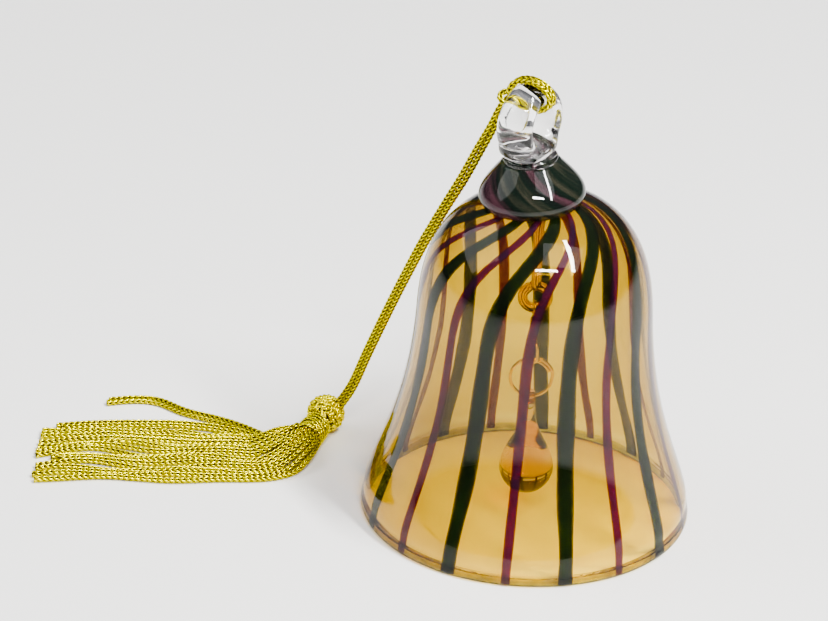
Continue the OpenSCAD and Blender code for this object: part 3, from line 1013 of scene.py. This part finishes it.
def make_canes():
    """A green and a purple streak by turns, all the way round."""
    pairs = sum(name.startswith("green_cane_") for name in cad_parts)
    for i in range(1, pairs + 1):
        for colour, material in (("green", GREEN), ("purple", PURPLE)):
            name, node = f"{colour}_streak_{i}", f"{colour}_cane_{i}"
            shape, layer = cane_shape(node, f"{colour}{i}")
            face_outwards(piece(name, shape, material, [node], layer=layer))


face_outwards(piece("bell_wall", wall_shape(), AMBER, ["bell_shell"]))
make_canes()


# ---- Crown, foot and eye ----

CROWN_AT = np.array([-0.0015, 0, 0.0628])
CROWN_LEAN = math.radians(5)
CROWN_R = 0.0097
CROWN_H = 0.0080
CROWN_TOP_R = 0.0052
CROWN_EDGE_R = 0.0004
FOOT_R = 0.0050
FOOT_H = 0.0020

# The eye melts into its foot: how much wider it gets there, and over what height
EYE_SPREAD = 0.55
EYE_SPREAD_H = 0.0042


def on_crown(corners, height):
    """Moves corners from the crown's own upright place to where it leans."""
    x, y, z = (corners + [0, 0, height]).T
    c, s = math.cos(CROWN_LEAN), math.sin(CROWN_LEAN)
    return np.stack([x * c - z * s, y, x * s + z * c], axis=1) + CROWN_AT


def crown_shape():
    """The crown: hardly hollow below, with a rounded edge and a flank that narrows to its top."""
    flank = np.array(
        [
            (CROWN_R - 0.0007, 0.0002),
            (CROWN_R + 0.0013, 0.0020),
            (CROWN_R - 0.0017, 0.0048),
            (CROWN_TOP_R, CROWN_H),
        ]
    )
    side = bezier(flank, np.linspace(0, 1, 40))
    turn = np.radians(np.arange(15, 90, 15))
    edge = np.stack([np.sin(turn), -np.cos(turn)], axis=1) * CROWN_EDGE_R + [CROWN_R - 0.0011, 0.0002]
    outline = np.vstack([[(0, 0.0008)], [(CROWN_R - 0.0030, 0.0004)], edge, side, [(0, CROWN_H)]])
    corners, faces = revolved(outline, 120)
    return on_crown(corners, 0), faces


def foot_shape():
    """The clear disc between the crown and the eye."""
    dome = np.array([(FOOT_R, 0.0004), (FOOT_R, 0.0012), (0.0036, FOOT_H), (0, FOOT_H)])
    outline = np.vstack([[(0, 0)], [(FOOT_R - 0.0002, 0)], bezier(dome, np.linspace(0, 1, 24))])
    corners, faces = revolved(outline, 96)
    return on_crown(corners, CROWN_H), faces


def eye_shape():
    """The hanging eye: a thick ring with an oval section, a little thicker at its foot."""
    rings, sides = 120, 40
    a = np.arange(rings) * TAU / rings
    b = np.arange(sides) * TAU / sides
    mid_r = (EYE_HIGH[2] - EYE_LOW[2]) / 2 - EYE_ROD / 2
    heavy = 1 + 0.10 * np.clip(-np.sin(a), 0, 1) ** 2 + 0.02 * np.sin(3 * a + 1)
    deep = 1 - 0.06 * np.clip(np.sin(a), 0, 1) ** 2 + 0.02 * np.sin(2 * a)
    rod, depth = EYE_ROD / 2 * heavy, EYE_DEPTH / 2 * deep
    radius = mid_r + rod[:, None] * np.cos(b) - (rod[:, None] - EYE_ROD / 2)
    along = depth[:, None] * np.sin(b)
    corners = (
        EYE_MIDDLE
        + (radius * np.cos(a)[:, None])[..., None] * ACROSS_EYE
        + (radius * np.sin(a)[:, None])[..., None] * UP
        + along[..., None] * THROUGH_EYE
    )
    low = np.clip((EYE_LOW[2] + EYE_SPREAD_H - corners[..., 2]) / EYE_SPREAD_H, 0, 1)
    spread = 1 + EYE_SPREAD * low[..., None] ** 1.5
    corners[..., :2] = EYE_MIDDLE[:2] + (corners[..., :2] - EYE_MIDDLE[:2]) * spread
    return corners.reshape(-1, 3), grid_faces(rings, sides, closed=True)


for name, shape, material, slot, node in (
    ("smoky_crown", crown_shape(), CROWN, "crown_glass", "crown"),
    ("clear_foot", foot_shape(), CLEAR, "clear_glass", "eye_foot"),
    ("clear_eye", eye_shape(), CLEAR, "clear_glass", "hanging_eye"),
):
    face_outwards(piece(name, shape, material, [node]))


# ---- Clapper and its chain ----

HOOK_LOW, HOOK_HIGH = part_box("inner_hook")
HOOK_R = (HOOK_HIGH.x - HOOK_LOW.x) / 2
HOOK_ROD = 0.0018

# The hook's root: the width that it adds, as a share of the rod's, and the height over which it narrows
HOOK_ROOT = 2.4
HOOK_ROOT_H = 0.0028

WIRE_D = 0.0006

# The ring's two ends lie side by side between these degrees, and draw in over RING_OVERLAP_FADE
RING_LOW, RING_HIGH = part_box("wire_ring")
RING_OVERLAP_FROM, RING_OVERLAP_TO = 22, 70
RING_OVERLAP_FADE = 28

LINK_LOW, LINK_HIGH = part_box("wire_link")
LINK_WIRE = WIRE_D * 0.8
LINK_TOP_R = HOOK_ROD / 2 + 0.0002 + WIRE_D / 2
LINK_EYE_R = 0.0013
LINK_EYE_STRAIGHT = 0.0014
LINK_EYE_TURN = math.radians(45)
WIND_TURNS = 2.5
WIND_PITCH = LINK_WIRE * 1.05


def hook_shape():
    """A drawn glass hook: a flared root, a stem, and a rod bent round to meet it."""
    centre_z = HOOK_LOW.z + HOOK_R
    bend = HOOK_R - HOOK_ROD / 2
    turns = np.radians(np.arange(90, -251, -5))
    loop = np.stack([bend * np.cos(turns), 0 * turns, centre_z + bend * np.sin(turns)], axis=1)
    loop[-1] += [0.0002, 0, 0.0002]
    stem_z = np.linspace(HOOK_HIGH.z - 0.0002, centre_z + bend + 0.0006, 40)
    stem = np.stack([0 * stem_z, 0 * stem_z, stem_z], axis=1)
    line = evenly(smooth(np.vstack([stem, loop]), 3), 0.0002)
    drop = HOOK_HIGH.z - line[:, 2]
    s = distances(line)
    radius = HOOK_ROD / 2 * (1 + HOOK_ROOT * np.exp(-((drop / HOOK_ROOT_H) ** 2)))
    radius = np.where(s > s[-1] - 0.0008, radius * 0.85, radius)
    return tube(line, radius, 32)


def wound(start, way):
    """Points of close turns round the link's shank, from a place on it, up (1) or down (-1)."""
    turns = np.linspace(0, TAU * WIND_TURNS, 40)
    rise = way * turns / TAU * WIND_PITCH
    return start + np.stack([LINK_WIRE * np.cos(turns), LINK_WIRE * np.sin(turns), rise], axis=1)


def link_shape():
    """One wire: round the hook, down, and round the lower eye, with each end wound round the shank."""
    top = UP * (LINK_HIGH.z - WIRE_D / 2 - LINK_TOP_R)
    low = UP * (LINK_LOW.z + WIRE_D / 2 + LINK_EYE_R + LINK_EYE_STRAIGHT / 2)
    shank_top = top - UP * LINK_TOP_R
    shank_end = low + UP * (LINK_EYE_R + LINK_EYE_STRAIGHT / 2)
    eye_dir = np.array([-math.sin(LINK_EYE_TURN), math.cos(LINK_EYE_TURN), 0])
    points = [*wound(shank_top - UP * 0.0004, -1)[::-1]]
    for a in np.radians(np.arange(-70, 251, 10)):
        points.append(top + LINK_TOP_R * np.array([0, math.cos(a), math.sin(a)]))
    for share in np.linspace(0.06, 0.94, 14):
        points.append(shank_top * (1 - share) + shank_end * share)
    for a in np.radians(np.arange(100, 441, 10)):
        straight = LINK_EYE_STRAIGHT / 2 * (1 if math.sin(a) > 0 else -1)
        height = LINK_EYE_R * math.sin(a) + straight
        points.append(low + LINK_EYE_R * math.cos(a) * eye_dir + height * UP)
    points += [*wound(shank_end + UP * 0.0002, 1)]
    line = evenly(smooth(points, 4), 0.00012)
    return tube(line, LINK_WIRE / 2, 12)


def ring_shape():
    """A ring of wire whose two ends lie side by side for a short way."""
    centre = (np.array(RING_LOW) + np.array(RING_HIGH)) / 2
    r = (RING_HIGH.x - RING_LOW.x - WIRE_D) / 2
    degrees = np.linspace(RING_OVERLAP_FROM, 360 + RING_OVERLAP_TO, 180)
    first = np.clip(1 - (degrees - RING_OVERLAP_TO) / RING_OVERLAP_FADE, 0, 1)
    last = np.clip(1 + (degrees - 360 - RING_OVERLAP_FROM) / RING_OVERLAP_FADE, 0, 1)
    r = r + WIRE_D / 2 * (last - first)
    a = np.radians(degrees)
    line = centre + np.stack([r * np.cos(a), 0 * a, r * np.sin(a)], axis=1)
    return tube(line, WIRE_D / 2, 16)


LOOP_LOW, LOOP_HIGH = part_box("clapper_loop")
LOOP_ROD = 0.00085
LOOP_RINGS = 60
LOOP_SIDES = 24


def loop_shape():
    """The glass loop on the drop, drawn wide along the ring."""
    centre = (np.array(LOOP_LOW) + np.array(LOOP_HIGH)) / 2
    depth = (LOOP_HIGH.x - LOOP_LOW.x) / 2
    mid_r = (LOOP_HIGH.z - LOOP_LOW.z - LOOP_ROD) / 2
    a = np.arange(LOOP_RINGS)[:, None] * TAU / LOOP_RINGS
    b = np.arange(LOOP_SIDES) * TAU / LOOP_SIDES
    radius = mid_r + LOOP_ROD / 2 * np.cos(b)
    along = depth * (1 - 0.06 * np.sin(a)) * np.sin(b)
    corners = centre + np.stack([along, radius * np.cos(a), radius * np.sin(a)], axis=-1)
    return corners.reshape(-1, 3), grid_faces(LOOP_RINGS, LOOP_SIDES, closed=True)


DROP_LOW, DROP_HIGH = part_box("clapper_drop")
DROP_NECK_R = 0.0009


def drop_shape():
    """The glass drop, drawn out to a neck at its top."""
    r, h = (DROP_HIGH.x - DROP_LOW.x) / 2, DROP_HIGH.z - DROP_LOW.z
    belly = DROP_LOW.z + 0.28 * h
    curve = [
        (DROP_NECK_R, DROP_HIGH.z),
        (DROP_NECK_R, DROP_HIGH.z - 0.34 * h),
        (r - 0.0003, belly + 0.24 * h),
        (r, belly),
    ]
    side = bezier(np.array(curve), np.linspace(0, 1, 50))
    a = np.radians(np.arange(4, 91, 4))
    foot = np.stack([r * np.cos(a), belly - (belly - DROP_LOW.z) * np.sin(a)], axis=1)
    return revolved(np.vstack([[(0, DROP_HIGH.z)], side, foot, [(0, DROP_LOW.z)]]), 96)


for name, shape, material, slot, body, node in (
    ("drawn_hook", hook_shape(), AMBER_SOLID, "amber_glass", "bell", "inner_hook"),
    ("link_wire", link_shape(), WIRE, "gold_wire", "link", "wire_link"),
    ("ring_wire", ring_shape(), WIRE, "gold_wire", "ring", "wire_ring"),
    ("drop_loop", loop_shape(), AMBER_SOLID, "amber_glass", "clapper", "clapper_loop"),
    ("glass_drop", drop_shape(), PALE_AMBER, "pale_amber_glass", "clapper", "clapper_drop"),
):
    face_outwards(piece(name, shape, material, [node], body))


# ---- Table and light ----

TABLE_SIZE = 6
TABLE_DARK = (0.80, 0.79, 0.77, 1)
TABLE_LIGHT = (0.84, 0.83, 0.81, 1)


def make_table():
    """A pale, matt table, faintly clouded."""
    bpy.ops.mesh.primitive_plane_add(size=TABLE_SIZE)
    table = bpy.context.object
    table.name = "table"
    n = Nodes("table")
    grain = n.bump(n.noise(60, 3.0), 0.15, 0.0003)
    colour = n.mixed(n.noise(9), TABLE_DARK, TABLE_LIGHT)
    table.data.materials.append(n.finish(n.shade(Base_Color=colour, Roughness=0.6, Normal=grain)))


LIT_AT = Vector((0, 0, 0.05))

# Two thin, strong strips that draw the glass's highlights, and two wide, weak panels:
# where each starts and ends, how wide it is and how bright
LIGHTS = {
    "strip_right": ((0.30, 0.05, 0.95), (0.68, -0.60, 0.95), 0.07, 115),
    "strip_front": ((-0.06, -0.77, 0.95), (0.38, -0.76, 0.95), 0.06, 125),
    "panel": ((0.05, -0.35, 1.05), (0.75, -0.35, 1.05), 0.6, 2.5),
    "left_fill": ((-0.9, -0.3, 0.7), (-0.6, 0.5, 0.7), 0.6, 2.0),
}


def soft_light(name, start, end, width, radiance):
    """A long light above the table, from start to end, that faces the bell."""
    start, end = Vector(start), Vector(end)
    light = bpy.data.lights.new(name, "AREA")
    light.shape = "RECTANGLE"
    light.size = (end - start).length
    light.size_y = width
    light.energy = radiance * math.pi * light.size * width
    obj = bpy.data.objects.new(name, light)
    bpy.context.scene.collection.objects.link(obj)
    middle = (start + end) / 2
    z = (middle - LIT_AT).normalized()
    x = (end - start).normalized()
    y = z.cross(x).normalized()
    x = y.cross(z)
    obj.matrix_world = Matrix.Translation(middle) @ Matrix((x, y, z)).transposed().to_4x4()


WORLD_LOW = (0.30, 0.31, 0.33)
WORLD_HIGH = (0.95, 0.97, 1.0)
WORLD_STRENGTH = 0.38
LOOK = "AgX - Medium High Contrast"
EXPOSURE = 0.1


def make_world():
    """A dim sky, darker below than above."""
    world = bpy.data.worlds.new("world")
    bpy.context.scene.world = world
    world.use_nodes = True
    tree = world.node_tree
    place = tree.nodes.new("ShaderNodeTexCoord").outputs["Generated"]
    split = tree.nodes.new("ShaderNodeSeparateXYZ")
    tree.links.new(place, split.inputs[0])
    ramp = tree.nodes.new("ShaderNodeValToRGB")
    tree.links.new(split.outputs["Z"], ramp.inputs[0])
    ramp.color_ramp.elements[0].color = (*WORLD_LOW, 1)
    ramp.color_ramp.elements[1].color = (*WORLD_HIGH, 1)
    tree.links.new(ramp.outputs[0], tree.nodes["Background"].inputs[0])
    tree.nodes["Background"].inputs[1].default_value = WORLD_STRENGTH


make_table()
make_world()
for name, light in LIGHTS.items():
    soft_light(name, *light)
bpy.context.scene.view_settings.look = LOOK
bpy.context.scene.view_settings.exposure = EXPOSURE
